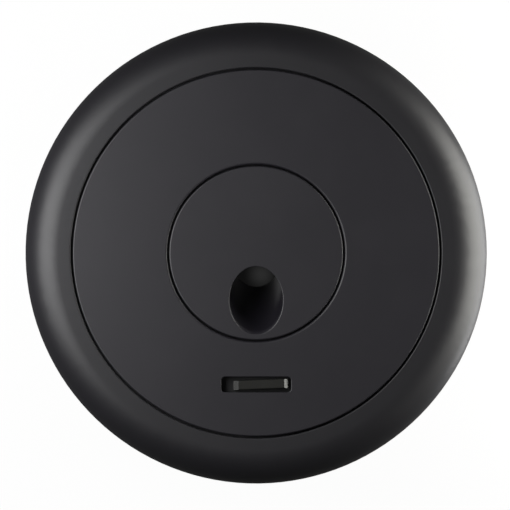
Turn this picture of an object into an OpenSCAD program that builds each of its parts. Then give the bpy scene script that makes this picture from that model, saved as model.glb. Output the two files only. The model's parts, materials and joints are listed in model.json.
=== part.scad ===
// Desk grommet: a flanged sleeve for a round hole in a desk top, with a lid that locks by a turning ring
// and a turret in the lid whose slanted bore lets a cable out at any heading.
// Units are millimetres. Z = 0 is the desk top, +Z is up, and the lock's slot lies towards -Y.

/* [Desk] */
// Diameter of the hole that is cut in the desk top
desk_hole_d = 80; // [76:1:90]
// Thickest desk top that the claws still reach under
desk_max = 30; // [26:1:40]
// Thinnest desk top that the claws can grip
desk_min = 15; // [13:1:20]

/* [Sleeve] */
// Play between the sleeve and the hole, on the radius
hole_play = 0.5; // [0.3:0.1:1]
// Wall of the sleeve
sleeve_wall = 2; // [1.6:0.1:2.4]
// How far the sleeve is set back below the collar that centres it in the hole, on the radius
relief = 0.5; // [0.4:0.1:0.8]
// Chamfer that leads the sleeve's lower end into the hole
lead_in = 1; // [0.5:0.1:1.2]

/* [Flange] */
// Height of the face above the desk top
flange_h = 8; // [7.6:0.1:10]
// Flat band between the lid and the rolled edge
flat_w = 2.75; // [2.2:0.05:5]
// Radius of the rolled edge
roll_r = 7.3; // [6:0.1:7.5]
// Wall of the flange's moulded shell
shell_t = 2; // [1.6:0.1:2.4]
// Number of ribs under the flange
rib_count = 24; // [12:2:36]
// Thickness of a rib
rib_t = 1.2; // [0.8:0.1:1.6]
// Thickness of the pressed gasket under the flange
gasket_t = 1.5; // [1:0.1:2]

/* [Lid] */
// Width of the ledge that carries the lid's rim
ledge_w = 3; // [2.6:0.1:4]
// Thickness of the ledge and of the bayonet lugs
ledge_t = 1.6; // [1.2:0.1:2]
// Gap round the lid
lid_gap = 0.45; // [0.3:0.05:0.8]
// Thickness of the lid
lid_t = 2; // [1.6:0.1:2.6]
// Rounding of the upper edges on both sides of the two round gaps
edge_r = 0.3; // [0.1:0.05:0.6]
// Thickness of the cushion ring under the lid's rim
cushion_t = 0.6; // [0.4:0.1:1]
// Width of the cushion ring
cushion_w = 1.2; // [0.8:0.1:1.4]
// Arc of each key that stops the lid from turning, in degrees
key_arc = 6; // [4:1:10]
// Height of each key
key_h = 1.5; // [1:0.1:1.6]

/* [Turret] */
// Diameter of the turret's face
turret_d = 38.4; // [36:0.2:42]
// Gap round the turret's face
turret_gap = 0.4; // [0.3:0.05:0.8]
// Thickness of the turret's face
turret_t = 2.4; // [2:0.1:3]
// Diameter of the slanted cable bore
outlet_d = 11.8; // [8:0.1:13]
// Slant of the cable bore from upright, in degrees
outlet_tilt = 38; // [30:1:42]
// Narrowest rim left between the mouth and the turret's edge
mouth_rim = 1.2; // [1:0.1:3]
// Wall of the outlet tube
tube_wall = 1.6; // [1.2:0.1:2]
// How far the shoulder stands out past the hole in the lid
shoulder_w = 1.8; // [1.4:0.1:2.4]
// Wall of the skirt that turns in the backing plate
skirt_wall = 1.6; // [1.2:0.1:2]
// Length of the skirt below the backing plate
skirt_drop = 0.6; // [0.2:0.1:1]
// Thickness of the web that stiffens the outlet tube
web_t = 1.8; // [1.2:0.1:2.4]
// Thickness of the friction washer
washer_t = 0.7; // [0.4:0.1:0.9]

/* [Lock] */
// Length of the slot in the lid
slot_l = 15.4; // [15:0.1:18]
// Width of the slot
slot_w = 3.35; // [3.2:0.05:4]
// Rounding of the slot's corners
slot_corner = 0.8; // [0.4:0.1:1.4]
// Length of the tab
tab_l = 12.3; // [11:0.1:12.8]
// Width of the tab
tab_w = 2; // [1.8:0.1:2.4]
// Gap that is left between the tab's end and the slot's end
tab_end_gap = 0.4; // [0.2:0.05:0.6]
// How far the tab stands above the face, for a fingertip
tab_rise = 0.4; // [0.1:0.1:0.8]
// Length of the bevel at each end of the tab
tab_bevel_l = 1.1; // [0.5:0.1:1.6]
// Height of the bevel at each end of the tab
tab_bevel_h = 0.95; // [0.4:0.05:1.4]
// Thickness of the lock ring
ring_t = 1.5; // [1.2:0.1:2]
// Distance from the turret's shoulder to the lock ring
ring_gap = 1.7; // [1.2:0.1:2.4]
// Radial depth of the bayonet lugs in the sleeve
lug_depth = 2.1; // [1.6:0.1:2.6]
// Arc of each lug, in degrees
lug_arc = 7; // [5:1:10]
// Arc of each tongue on the lock ring, in degrees
tongue_arc = 8; // [6:1:10]
// Thickness of a tongue
tongue_t = 1.4; // [1:0.1:1.8]
// Width of the root that carries a tongue
root_w = 1.8; // [1.4:0.1:2.4]
// Thickness of the backing plate
plate_t = 1.6; // [1.2:0.1:2.2]
// Diameter of the posts under the lid that the lock ring slides on
post_d = 4.8; // [4.4:0.1:5.4]
// Thread diameter of the backing plate's screws
plate_screw_d = 2.2; // [2:0.1:2.6]

/* [Clamps] */
// Thread diameter of the clamp screws
clamp_screw_d = 4; // [3.5:0.1:4.4]
// Diameter of a clamp screw's head
clamp_head_d = 7; // [6.4:0.1:7.6]
// Height of a clamp screw's head
clamp_head_h = 2.4; // [2:0.1:3]
// Height of the boss that holds a clamp screw
boss_h = 8; // [5:0.5:8]
// Diameter of a claw's hub
hub_d = 7.6; // [7.2:0.1:8.4]
// Height of a claw's hub
claw_h = 6; // [5:0.5:9]
// Thickness of a claw's arm
arm_t = 3.6; // [2.5:0.1:4.5]
// Width of a claw's arm
arm_w = 5.2; // [4:0.1:6]
// Reach of a claw from its screw
claw_reach = 12.5; // [11:0.1:13]
// Thickness of a claw's rubber pad
pad_t = 1; // [0.6:0.1:2]
// Outer diameter of the threaded insert in a claw
insert_d = 5.6; // [5.2:0.1:6]

/* [Clearances] */
// Running play between a shaft and its bore, on the radius
run_play = 0.05; // [0.02:0.01:0.1]
// Play above and below what slides between two plates
slide_play = 0.2; // [0.1:0.05:0.3]
// Plain gap between pieces that pass each other
pass_gap = 0.4; // [0.3:0.05:0.6]

/* [Hidden] */
$fn = 96;

// Overcut that keeps the faces of a cut apart from the faces of what it cuts
cut = 1;

// Radii, from the desk hole outwards to the flange's edge
sleeve_r = desk_hole_d / 2 - hole_play;
relief_r = sleeve_r - relief;
bore_r = sleeve_r - sleeve_wall;
lid_r = bore_r + ledge_w;
opening_r = lid_r + lid_gap;
roll_start_r = opening_r + flat_w;
flange_r = roll_start_r + roll_r;
roll_z = flange_h - roll_r;
hollow_r = sleeve_r + shell_t;
cushion_out_r = bore_r + pass_gap / 2 + cushion_w;

// Radii, from the turret outwards to the lock ring's tongues
turret_r = turret_d / 2;
turret_hole_r = turret_r + turret_gap;
shoulder_r = turret_hole_r + shoulder_w;
skirt_r = turret_r - pass_gap;
lug_r = bore_r - lug_depth;
ring_out_r = lug_r - pass_gap;
ring_in_r = shoulder_r + ring_gap;
ring_mid_r = (ring_in_r + ring_out_r) / 2;
root_r = ring_out_r - root_w;
tongue_r = bore_r - pass_gap;
plate_in_r = skirt_r + 2 * pass_gap;
plate_out_r = root_r - pass_gap;

// Heights, from the face downwards through the lid's stack
lid_bottom = flange_h - lid_t;
ledge_top = lid_bottom - cushion_t;
ledge_bottom = ledge_top - ledge_t;
ring_top = lid_bottom - slide_play;
ring_bottom = ring_top - ring_t;
plate_top = ring_bottom - slide_play;
plate_bottom = plate_top - plate_t;
tongue_top = ledge_bottom - slide_play;
tongue_bottom = tongue_top - tongue_t;
shoulder_top = lid_bottom - washer_t;
shoulder_bottom = plate_top + slide_play;
skirt_bottom = plate_bottom - skirt_drop;

// Slanted outlet: the mouth lies off the axis by mouth_y, and the bore comes out below on the turret's axis
outlet_r = outlet_d / 2;
mouth_y = turret_r - mouth_rim - outlet_r / cos(outlet_tilt);
outlet_drop = mouth_y / tan(outlet_tilt);
turret_bottom = flange_h - outlet_drop;

// Lock: the tab's offset in its slot gives the turn of the ring to either side of the middle
tab_offset = (slot_l - tab_l) / 2 - tab_end_gap;
lock_half = asin(tab_offset / ring_mid_r);
tongue_angles = [90, 210, 330];
post_angles = [45, 135, 225, 315];
key_angles = [30, 150];
lug_clear = 0.6;
plate_rim_h = 1;
peg_r = 0.8;
peg_pitch = 7;
tab_edge_r = 0.2;

// Detent: a nib on a springing finger of the backing plate, and two dimples for it in the lock ring
finger_l = 9;
finger_w = 2.6;
finger_angle = 90;
slit_w = 0.8;
nib_r = 0.7;
nib_press = 0.6;
nib_h = slide_play * nib_press;
nib_shift = finger_l / 2 - slit_w - 2 * nib_r;
nib_angle = finger_angle + atan(nib_shift / ring_mid_r);
nib_arc_r = norm([ring_mid_r, nib_shift]);
dimple_depth = 0.4;

// Screws of the backing plate, and the plate's rim outside their heads
plate_screw_r = plate_screw_d / 2;
plate_head_r = plate_screw_d;
plate_head_h = plate_screw_d * 0.7;
plate_rim_r = ring_mid_r + plate_head_r + pass_gap;
lid_skin = 1;
pilot_top = flange_h - lid_skin;

// Cross recess of a screw's head, in shares of the head's radius
recess_depth = 0.35;
recess_l = 1.1;
recess_w = 0.24;

// Clamps: the screw stands beside the sleeve's wall, and the claw hangs at the screw's lower end
clamp_screw_r = clamp_screw_d / 2;
hub_r = hub_d / 2;
clamp_r = bore_r - pass_gap - hub_r;
boss_r = hub_r + pass_gap;
head_gap = 0.6;
boss_top = plate_bottom - plate_rim_h - head_gap - clamp_head_h;
boss_bottom = boss_top - boss_h;
clip_t = 0.8;
clip_rim = 1.5;
clip_half_gap = 40;
clip_r = clamp_screw_r + clip_rim;
groove_depth = 0.45;
groove_r = clamp_screw_r - groove_depth;
clip_top = boss_bottom - slide_play;
clip_bottom = clip_top - clip_t;
pad_top = -desk_max;
claw_top = pad_top - pad_t;
claw_bottom = claw_top - claw_h;
stop_t = 0.8;
stop_rim = 0.6;
stop_r = clamp_screw_r + stop_rim;
foot_gap = 0.6;
sleeve_bottom = claw_bottom - slide_play - stop_t - foot_gap;
claw_rise = desk_max - desk_min;
window_top = pad_top + claw_rise + 2 * pass_gap;
collar_gap = 1.2;
collar_bottom = window_top + collar_gap;
insert_r = insert_d / 2;
pad_inset = 0.5;

// Colours as the photo shows the face, and plain finishes for what it hides
black = [0.22, 0.22, 0.23];
dark = [0.16, 0.16, 0.17];
rubber = [0.1, 0.1, 0.1];
steel = [0.7, 0.7, 0.72];
brass = [0.8, 0.66, 0.36];

// Flat ring between two radii, from height z0 up to z1
module ring(r_out, r_in, z0, z1) {
    rotate_extrude()
        translate([r_in, z0])
            square([r_out - r_in, z1 - z0]);
}

// Part of a ring, from angle a0 round to a1
module ring_sector(r_out, r_in, z0, z1, a0, a1) {
    rotate([0, 0, a0])
        rotate_extrude(angle = a1 - a0)
            translate([r_in, z0])
                square([r_out - r_in, z1 - z0]);
}

// Slot along an arc of radius r, with round ends, reaching half_arc to each side of angle a
module arc_slot(r, half_w, half_arc, a, z0, z1) {
    ring_sector(r + half_w, r - half_w, z0, z1, a - half_arc, a + half_arc);
    for (end = [-half_arc, half_arc])
        rotate([0, 0, a + end])
            translate([r, 0, z0])
                cylinder(r = half_w, h = z1 - z0);
}

// What has to be cut off a square corner at the origin to round it by radius r
module corner_waste(r) {
    difference() {
        translate([-r, -r])
            square(r + cut);
        translate([-r, -r])
            circle(r);
        translate([-r - cut, -r - cut])
            square([cut, 2 * cut + r]);
        translate([-r - cut, -r - cut])
            square([2 * cut + r, cut]);
    }
}

// Rectangle of a revolved profile whose upper outer and upper inner corners are rounded
module edged_profile(r_in, r_out, z0, z1, round_in, round_out) {
    difference() {
        translate([r_in, z0])
            square([r_out - r_in, z1 - z0]);
        if (round_out > 0)
            translate([r_out, z1])
                corner_waste(round_out);
        if (round_in > 0)
            translate([r_in, z1])
                mirror([1, 0])
                    corner_waste(round_in);
    }
}

// Rectangle about the origin with round corners
module rounded_slot(l, w, r) {
    square([l - 2 * r, w], center = true);
    square([l, w - 2 * r], center = true);
    for (x = [-1, 1], y = [-1, 1])
        translate([x * (l / 2 - r), y * (w / 2 - r)])
            circle(r);
}

// Quarter of the rolled edge with radius r about the roll's centre
module roll_quarter(r) {
    translate([roll_start_r, roll_z])
        intersection() {
            circle(r);
            square(r);
        }
}

// Profile of the flange and the sleeve before the shell is hollowed
module housing_profile() {
    roll_quarter(roll_r);
    translate([roll_start_r, 0])
        square([roll_r, roll_z]);
    translate([bore_r, 0])
        square([roll_start_r - bore_r, ledge_top]);
    edged_profile(opening_r, roll_start_r, 0, flange_h, edge_r, 0);
    polygon([
        [bore_r, 0],
        [bore_r, sleeve_bottom],
        [relief_r - lead_in, sleeve_bottom],
        [relief_r, sleeve_bottom + lead_in],
        [relief_r, collar_bottom - relief],
        [sleeve_r, collar_bottom],
        [sleeve_r, 0]
    ]);
}

// Profile of the hollow under the flange, open towards the desk
module hollow_profile() {
    roll_quarter(roll_r - shell_t);
    translate([roll_start_r, -cut])
        square([roll_r - shell_t, roll_z + cut]);
    translate([opening_r + shell_t, -cut])
        square([roll_start_r - opening_r - shell_t, flange_h - shell_t + cut]);
    translate([hollow_r, -cut])
        square([roll_start_r - hollow_r, ledge_bottom + cut]);
}

// Ribs that fill the hollow's width, down to the gasket
module flange_ribs() {
    intersection() {
        rotate_extrude()
            intersection() {
                hollow_profile();
                translate([0, gasket_t])
                    square([flange_r, flange_h]);
            }
        for (i = [0 : rib_count - 1])
            rotate([0, 0, (i + 0.5) * 360 / rib_count])
                translate([hollow_r - shell_t / 2, -rib_t / 2, 0])
                    cube([flange_r - hollow_r, rib_t, flange_h]);
    }
}

// Bayonet lugs that the tongues turn under, each beside the place where its tongue comes down
module lugs() {
    for (a = tongue_angles) {
        lug_end = a + lock_half - tongue_arc / 2 - lug_clear;
        ring_sector(bore_r + sleeve_wall / 2, lug_r, ledge_bottom, ledge_top, lug_end - lug_arc, lug_end);
    }
}

// Moves its children to the right-hand clamp's screw, or to the left-hand one, half a turn on
module at_clamp(left) {
    rotate([0, 0, left ? 180 : 0])
        translate([clamp_r, 0, 0])
            children();
}

// Boss inside the sleeve that carries a clamp screw
module clamp_boss() {
    intersection() {
        union() {
            translate([0, 0, boss_bottom])
                cylinder(r = boss_r, h = boss_h);
            translate([0, -boss_r, boss_bottom])
                cube([sleeve_r, 2 * boss_r, boss_h]);
        }
        translate([-clamp_r, 0, boss_bottom])
            cylinder(r = bore_r + sleeve_wall / 2, h = boss_h);
    }
}

// Window in the sleeve's wall through which a claw swings out, open at the sleeve's lower end
module claw_window() {
    sweep = norm([claw_reach, arm_w / 2]) + pass_gap;
    translate([0, -arm_w / 2 - pass_gap, sleeve_bottom - cut])
        cube([sleeve_r, sweep + arm_w / 2 + pass_gap, window_top - sleeve_bottom + cut]);
}

module flanged_sleeve() {
    color(black)
        difference() {
            union() {
                rotate_extrude()
                    difference() {
                        housing_profile();
                        hollow_profile();
                    }
                flange_ribs();
                lugs();
                for (left = [false, true])
                    at_clamp(left)
                        clamp_boss();
            }
            for (left = [false, true])
                at_clamp(left) {
                    translate([0, 0, boss_bottom - cut])
                        cylinder(r = clamp_screw_r + run_play, h = boss_h + 2 * cut);
                    claw_window();
                }
            for (a = key_angles)
                key_space(a, pass_gap);
        }
}

module desk_gasket() {
    color(rubber)
        ring(flange_r - shell_t - pass_gap, hollow_r + pass_gap, 0, gasket_t);
}

module lid_cushion() {
    color(rubber)
        ring(cushion_out_r, cushion_out_r - cushion_w, ledge_top, lid_bottom);
}

// A key under the lid's rim, or with play the space for it in the ledge
module key_space(a, play) {
    half_arc = key_arc / 2 + asin(play / lid_r);
    inner_r = cushion_out_r + pass_gap - play / 2;
    ring_sector(lid_r - lid_gap / 2 + play / 2, inner_r, lid_bottom - key_h - play, flange_h - lid_t / 2,
        a - half_arc, a + half_arc);
}

module lid_plate() {
    color(black)
        difference() {
            union() {
                rotate_extrude()
                    edged_profile(turret_hole_r, lid_r, lid_bottom, flange_h, edge_r, edge_r);
                for (a = post_angles)
                    rotate([0, 0, a])
                        translate([ring_mid_r, 0, plate_top])
                            cylinder(d = post_d, h = flange_h - plate_top - lid_t / 2);
                for (a = key_angles)
                    key_space(a, 0);
            }
            for (a = post_angles)
                rotate([0, 0, a])
                    translate([ring_mid_r, 0, plate_top - cut])
                        cylinder(r = plate_screw_r + run_play, h = pilot_top - plate_top + cut);
            translate([0, -ring_mid_r, lid_bottom - cut])
                linear_extrude(lid_t + 2 * cut)
                    rounded_slot(slot_l, slot_w, slot_corner);
        }
}

// Slits that free a springing finger in the backing plate
module finger_slits() {
    rotate([0, 0, finger_angle])
        translate([ring_mid_r, 0, plate_bottom - cut])
            linear_extrude(plate_t + 2 * cut) {
                for (side = [-1, 1])
                    translate([side * (finger_w + slit_w) / 2, 0])
                        square([slit_w, finger_l], center = true);
                translate([0, (finger_l - slit_w) / 2])
                    square([finger_w + slit_w, slit_w], center = true);
            }
}

module backing_plate() {
    color(dark) {
        difference() {
            union() {
                ring(plate_out_r, plate_in_r, plate_bottom, plate_top);
                ring(plate_out_r, plate_rim_r, plate_bottom - plate_rim_h, plate_top);
            }
            for (a = post_angles)
                rotate([0, 0, a])
                    translate([ring_mid_r, 0, plate_bottom - cut])
                        cylinder(r = plate_screw_r + run_play, h = plate_t + 2 * cut);
            finger_slits();
        }
        rotate([0, 0, nib_angle])
            translate([nib_arc_r, 0, plate_top - plate_t / 2])
                cylinder(r = nib_r, h = plate_t / 2 + nib_h);
    }
}

// Cross recess in a screw's head of radius r, cut into the head's end at height z
module cross_recess(z, r) {
    for (turn = [0, 90])
        rotate([0, 0, turn])
            translate([0, 0, z])
                cube(r * [recess_l, recess_w, 2 * recess_depth], center = true);
}

module backing_screws() {
    color(steel)
        for (a = post_angles)
            rotate([0, 0, a])
                translate([ring_mid_r, 0, 0])
                    difference() {
                        union() {
                            translate([0, 0, plate_bottom - plate_head_h])
                                cylinder(r = plate_head_r, h = plate_head_h);
                            translate([0, 0, plate_bottom])
                                cylinder(r = plate_screw_r, h = pilot_top - plate_bottom - slide_play);
                        }
                        cross_recess(plate_bottom - plate_head_h, plate_head_r);
                    }
}

module turret_washer() {
    color(rubber)
        ring(shoulder_r - slide_play, turret_hole_r + slide_play, shoulder_top, lid_bottom);
}

// Moves its children so that their Z axis runs up the slanted bore, from its lower end on the turret's axis
module along_outlet() {
    translate([0, 0, turret_bottom])
        rotate([outlet_tilt, 0, 0])
            children();
}

// Web between the outlet tube and the underside of the turret's face
module outlet_web() {
    tube_side = (outlet_r + tube_wall / 2) / cos(outlet_tilt);
    reach = skirt_r - skirt_wall / 2;
    rotate([90, 0, 90])
        translate([0, 0, -web_t / 2])
            linear_extrude(web_t)
                polygon([
                    [0, turret_bottom],
                    [tube_side, turret_bottom],
                    [reach, skirt_bottom],
                    [reach, flange_h - turret_t / 2],
                    [-mouth_y, flange_h - turret_t / 2]
                ]);
}

module turret() {
    tube_len = outlet_drop / cos(outlet_tilt);
    over = 2 * outlet_d;
    color(black)
        difference() {
            union() {
                rotate_extrude()
                    edged_profile(0, turret_r, flange_h - turret_t, flange_h, 0, edge_r);
                ring(turret_r, skirt_r - skirt_wall, shoulder_bottom, flange_h - turret_t / 2);
                ring(shoulder_r, skirt_r - skirt_wall, shoulder_bottom, shoulder_top);
                ring(skirt_r, skirt_r - skirt_wall, skirt_bottom, shoulder_top);
                intersection() {
                    along_outlet()
                        translate([0, 0, -over])
                            cylinder(r = outlet_r + tube_wall, h = tube_len + 2 * over);
                    translate([0, 0, turret_bottom])
                        cylinder(r = skirt_r, h = outlet_drop - turret_t / 2);
                }
                outlet_web();
            }
            along_outlet()
                translate([0, 0, -over])
                    cylinder(r = outlet_r, h = tube_len + 2 * over);
        }
}

// Profile of a tongue and of the root that hangs it from the lock ring
module tongue_profile() {
    root_top = ring_top - ring_t / 2;
    root_out_r = ring_out_r - slide_play;
    polygon([
        [root_r, root_top],
        [root_r, tongue_bottom],
        [tongue_r, tongue_bottom],
        [tongue_r, tongue_top],
        [root_out_r, tongue_top],
        [root_out_r, root_top]
    ]);
}

module lock_ring() {
    color(dark)
        rotate([0, 0, lock_half])
            difference() {
                union() {
                    ring(ring_out_r, ring_in_r, ring_bottom, ring_top);
                    for (a = tongue_angles)
                        rotate([0, 0, a - tongue_arc / 2])
                            rotate_extrude(angle = tongue_arc)
                                tongue_profile();
                }
                for (a = post_angles)
                    arc_slot(ring_mid_r, post_d / 2 + run_play, lock_half + lug_clear, a,
                        ring_bottom - cut, ring_top + cut);
                for (x = [-1, 1])
                    translate([x * peg_pitch / 2, -ring_mid_r, ring_bottom - cut])
                        cylinder(r = peg_r + run_play, h = ring_t + 2 * cut);
                for (turn = [-lock_half, lock_half])
                    rotate([0, 0, nib_angle + turn])
                        translate([nib_arc_r, 0, ring_bottom - cut])
                            cylinder(r = nib_r + run_play, h = dimple_depth + cut);
            }
}

// Side view of the tab, bevelled at both ends, from height z0 up to z1
module tab_side(z0, z1) {
    end = tab_l / 2;
    polygon([
        [-end, z0],
        [end, z0],
        [end, z1 - tab_bevel_h],
        [end - tab_bevel_l, z1],
        [tab_bevel_l - end, z1],
        [-end, z1 - tab_bevel_h]
    ]);
}

// End view of the tab, its upper edges rounded
module tab_end(z0, z1) {
    difference() {
        translate([-tab_w / 2, z0])
            square([tab_w, z1 - z0]);
        for (side = [0, 1])
            mirror([side, 0])
                translate([tab_w / 2, z1])
                    corner_waste(tab_edge_r);
    }
}

module lock_tab() {
    tab_top = flange_h + tab_rise;
    color(dark)
        rotate([0, 0, lock_half])
            translate([0, -ring_mid_r, 0]) {
                intersection() {
                    rotate([90, 0, 0])
                        translate([0, 0, -tab_w / 2])
                            linear_extrude(tab_w)
                                tab_side(ring_top, tab_top);
                    rotate([90, 0, 90])
                        translate([0, 0, -tab_l / 2])
                            linear_extrude(tab_l)
                                tab_end(ring_top, tab_top);
                }
                for (x = [-1, 1])
                    translate([x * peg_pitch / 2, 0, ring_bottom])
                        cylinder(r = peg_r, h = ring_t + lid_t / 2);
            }
}

module clamp_screw(left) {
    color(steel)
        at_clamp(left)
            difference() {
                union() {
                    translate([0, 0, boss_top])
                        cylinder(d = clamp_head_d, h = clamp_head_h);
                    translate([0, 0, claw_bottom - slide_play])
                        cylinder(r = clamp_screw_r, h = boss_top - claw_bottom + slide_play);
                    translate([0, 0, claw_bottom - slide_play - stop_t])
                        cylinder(r = stop_r, h = stop_t);
                }
                ring(clamp_screw_r + cut, groove_r, clip_bottom, clip_top);
                cross_recess(boss_top + clamp_head_h, clamp_head_d / 2);
            }
}

module screw_clip(left) {
    color(steel)
        at_clamp(left)
            ring_sector(clip_r, groove_r, clip_bottom, clip_top, clip_half_gap, 360 - clip_half_gap);
}

// Outline of a claw at rest, its arm along the sleeve's wall, from distance y0 outwards
module claw_outline(y0, inset) {
    intersection() {
        union() {
            translate([-arm_w / 2 + inset, y0])
                square([arm_w - 2 * inset, claw_reach - inset - arm_w / 4 - y0]);
            translate([-arm_w / 4 + inset, y0])
                square([arm_w / 2 - 2 * inset, claw_reach - inset - y0]);
            for (side = [-1, 1])
                translate([side * arm_w / 4, claw_reach - arm_w / 4 - inset])
                    circle(arm_w / 4 - inset);
        }
        translate([-clamp_r, 0])
            circle(bore_r - pass_gap - inset);
    }
}

module claw(left) {
    color(dark)
        at_clamp(left)
            difference() {
                union() {
                    translate([0, 0, claw_bottom])
                        cylinder(r = hub_r, h = claw_h);
                    translate([0, 0, claw_top - arm_t])
                        linear_extrude(arm_t)
                            claw_outline(0, 0);
                }
                translate([0, 0, claw_bottom - cut])
                    cylinder(r = insert_r, h = claw_h + 2 * cut);
            }
}

module claw_insert(left) {
    color(brass)
        at_clamp(left)
            ring(insert_r, clamp_screw_r + run_play, claw_bottom, claw_top);
}

module claw_pad(left) {
    color(rubber)
        at_clamp(left)
            translate([0, 0, claw_top])
                linear_extrude(pad_t)
                    claw_outline(hub_r + pass_gap, pad_inset);
}

flanged_sleeve();
desk_gasket();
lid_cushion();
lid_plate();
backing_plate();
backing_screws();
turret_washer();
turret();
lock_ring();
lock_tab();
clamp_screw(false);  // clamp_screw_right
clamp_screw(true);  // clamp_screw_left
screw_clip(false);  // screw_clip_right
screw_clip(true);  // screw_clip_left
claw(false);  // claw_right
claw(true);  // claw_left
claw_insert(false);  // claw_insert_right
claw_insert(true);  // claw_insert_left
claw_pad(false);  // claw_pad_right
claw_pad(true);  // claw_pad_left
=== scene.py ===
"""Looks of a desk grommet: finishes, edge radii, screw threads and soft rings around its solids."""

import json
import math

import bmesh
import bpy
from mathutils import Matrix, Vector


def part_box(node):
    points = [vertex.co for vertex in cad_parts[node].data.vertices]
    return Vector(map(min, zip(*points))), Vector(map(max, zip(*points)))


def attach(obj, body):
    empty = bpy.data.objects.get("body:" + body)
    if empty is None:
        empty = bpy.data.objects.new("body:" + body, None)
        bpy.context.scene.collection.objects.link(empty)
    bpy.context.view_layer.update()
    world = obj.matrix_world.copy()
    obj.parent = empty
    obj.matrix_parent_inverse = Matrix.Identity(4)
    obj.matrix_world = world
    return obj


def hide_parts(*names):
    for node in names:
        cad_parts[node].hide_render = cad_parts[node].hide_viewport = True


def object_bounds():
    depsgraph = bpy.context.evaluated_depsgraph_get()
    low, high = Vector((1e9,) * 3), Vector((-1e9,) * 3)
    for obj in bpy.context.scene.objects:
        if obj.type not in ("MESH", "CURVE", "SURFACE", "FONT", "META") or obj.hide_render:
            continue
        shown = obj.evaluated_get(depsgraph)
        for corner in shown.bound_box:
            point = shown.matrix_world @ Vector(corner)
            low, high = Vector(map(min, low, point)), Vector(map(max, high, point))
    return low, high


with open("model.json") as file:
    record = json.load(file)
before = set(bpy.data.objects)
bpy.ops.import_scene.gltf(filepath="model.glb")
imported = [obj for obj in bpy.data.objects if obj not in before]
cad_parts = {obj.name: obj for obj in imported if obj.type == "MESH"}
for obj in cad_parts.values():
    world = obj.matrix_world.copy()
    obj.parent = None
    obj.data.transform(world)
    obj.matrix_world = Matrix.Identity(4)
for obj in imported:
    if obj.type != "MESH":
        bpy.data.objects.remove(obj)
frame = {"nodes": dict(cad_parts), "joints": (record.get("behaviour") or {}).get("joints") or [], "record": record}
CAD_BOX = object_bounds()

bl_info = {
    "name": "Desk grommet finishes",
    "version": (1, 0, 0),
    "blender": (4, 5, 0),
    "location": "View3D > Sidebar > Grommet",
    "description": "Dresses the solids of a desk grommet with finishes, edge radii, threads and soft rings",
    "category": "Object",
}

SIDES = ("right", "left")
MM = 0.001

# The photograph is square. The flange's centre and diameter are given in its pixels
IMAGE_SIDE = 510
FLANGE_CENTRE_PX = (256.15, 252.95)
FLANGE_DIAMETER_PX = 461.2

# Merging distance for the solids' loose triangles, and the angles that part flat, smooth and crisp
MERGE_DISTANCE = 0.002 * MM
FLAT_ANGLE = math.radians(0.05)
CRISP_ANGLE = math.radians(35)

# Depth of the band of heights that holds the edges of a piece's top or bottom face
SKIN = 0.05 * MM

# Rows of faces on a bevelled edge. Where all edges of a piece are bevelled, those around each are at least
# this many radii long
BEVEL_ROWS = 3
ROOM_SHARE = 0.9

# Radius of the solids' own rounded edges on the face, how far their corners may lie off it, the circles that
# these edges run along, and the rows of faces that a dressed piece has on one
ROUND = 0.3 * MM
ROUND_SLACK = 0.025 * MM
LID_RADIUS = 40.5 * MM
HOLE_RADIUS = 19.6 * MM
TURRET_RADIUS = 19.2 * MM
ROUND_ROWS = 8

# Satin plastic: its roughness, how much less it is on hidden walls, how far the grain and the full tone go down
# from the face, below which painted shade darkens the walls, where they start on the flange, and the height over
# which they fade
SATIN_ROUGHNESS = 0.479
HIDDEN_SMOOTHNESS = 0.14
GRAIN_AND_SHADE_DEPTH = 0.6 * MM
FLANGE_GRAIN_AND_SHADE_FOOT = 0.3 * MM
GRAIN_AND_SHADE_FADE = 0.4 * MM

# Middle of a noise's values
NOISE_MIDDLE = 0.5

# Ejector marks on the backing plate: their number, circle, radius and depth, and the height of the face that
# has them above the plate's lowest edge
MARK_COUNT = 8
MARK_CIRCLE = 22.4 * MM
MARK_RADIUS = 1.3 * MM
MARK_DEPTH = 0.08 * MM
MARKED_FACE = 1 * MM

# Clamp screws: the head, the stop at the end, the clip's groove and the plain shank below the clip
CLAMP_HEAD_HEIGHT = 2.4 * MM
CLAMP_STOP_RADIUS = 2.6 * MM
CLAMP_STOP_HEIGHT = 0.8 * MM
CLIP_GROOVE_DEPTH = 0.45 * MM
PLAIN_BELOW_CLIP = 0.8 * MM

# Backing plate screws: the head's height in thread diameters, the plain shank below it and the blunt tip
PLATE_HEAD_SHARE = 0.7
PLATE_PLAIN_LENGTH = 0.3 * MM
PLATE_TIP_RADIUS = 0.6 * MM
PLATE_TIP_HEIGHT = 0.1 * MM

# Swells on the rubber rings, and the power that shapes a soft ring's section: 1 is an ellipse, 0 a rectangle
RUBBER_RISE = 0.01 * MM
RING_FULLNESS = 0.45

# Light from below: the downward part of a direction past which it is full, the sideways part past which a
# glow is full, and the share of the even light that is lost there
BELOW_FULL = 0.3
GLOW_FULL = 0.6
BELOW_LOSS = 0.7

# Floor: the radii over which its opening ends, whose soft edge shows as a painted shadow round the sleeve, and
# over which its faint shade fades, that shade's depth and paleness, and the middle, radius and loss of tone of the
# painted pool of light, in painted shade, that shows through the cable outlet
OPENING_AND_SHADOW_EDGE = (38 * MM, 51 * MM)
SHADE_EDGE = (150 * MM, 400 * MM)
SHADE_DEPTH = 0.06
SHADE_PALENESS = 0.8
PAINTED_SPOT_CENTRE = (1.2 * MM, -4.8 * MM)
PAINTED_SPOT_RADIUS = 4.2 * MM
PAINTED_SPOT_LOSS = 0.8


def joint(name):
    """The record's entry for one joint."""
    return next(j for j in frame["joints"] if j["name"] == name)


# Settings


def setting(make, **kind):
    """A function that makes settings of one kind."""
    def made(name, description, value):
        return make(name=name, description=description, default=value, **kind)
    return made


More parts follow.
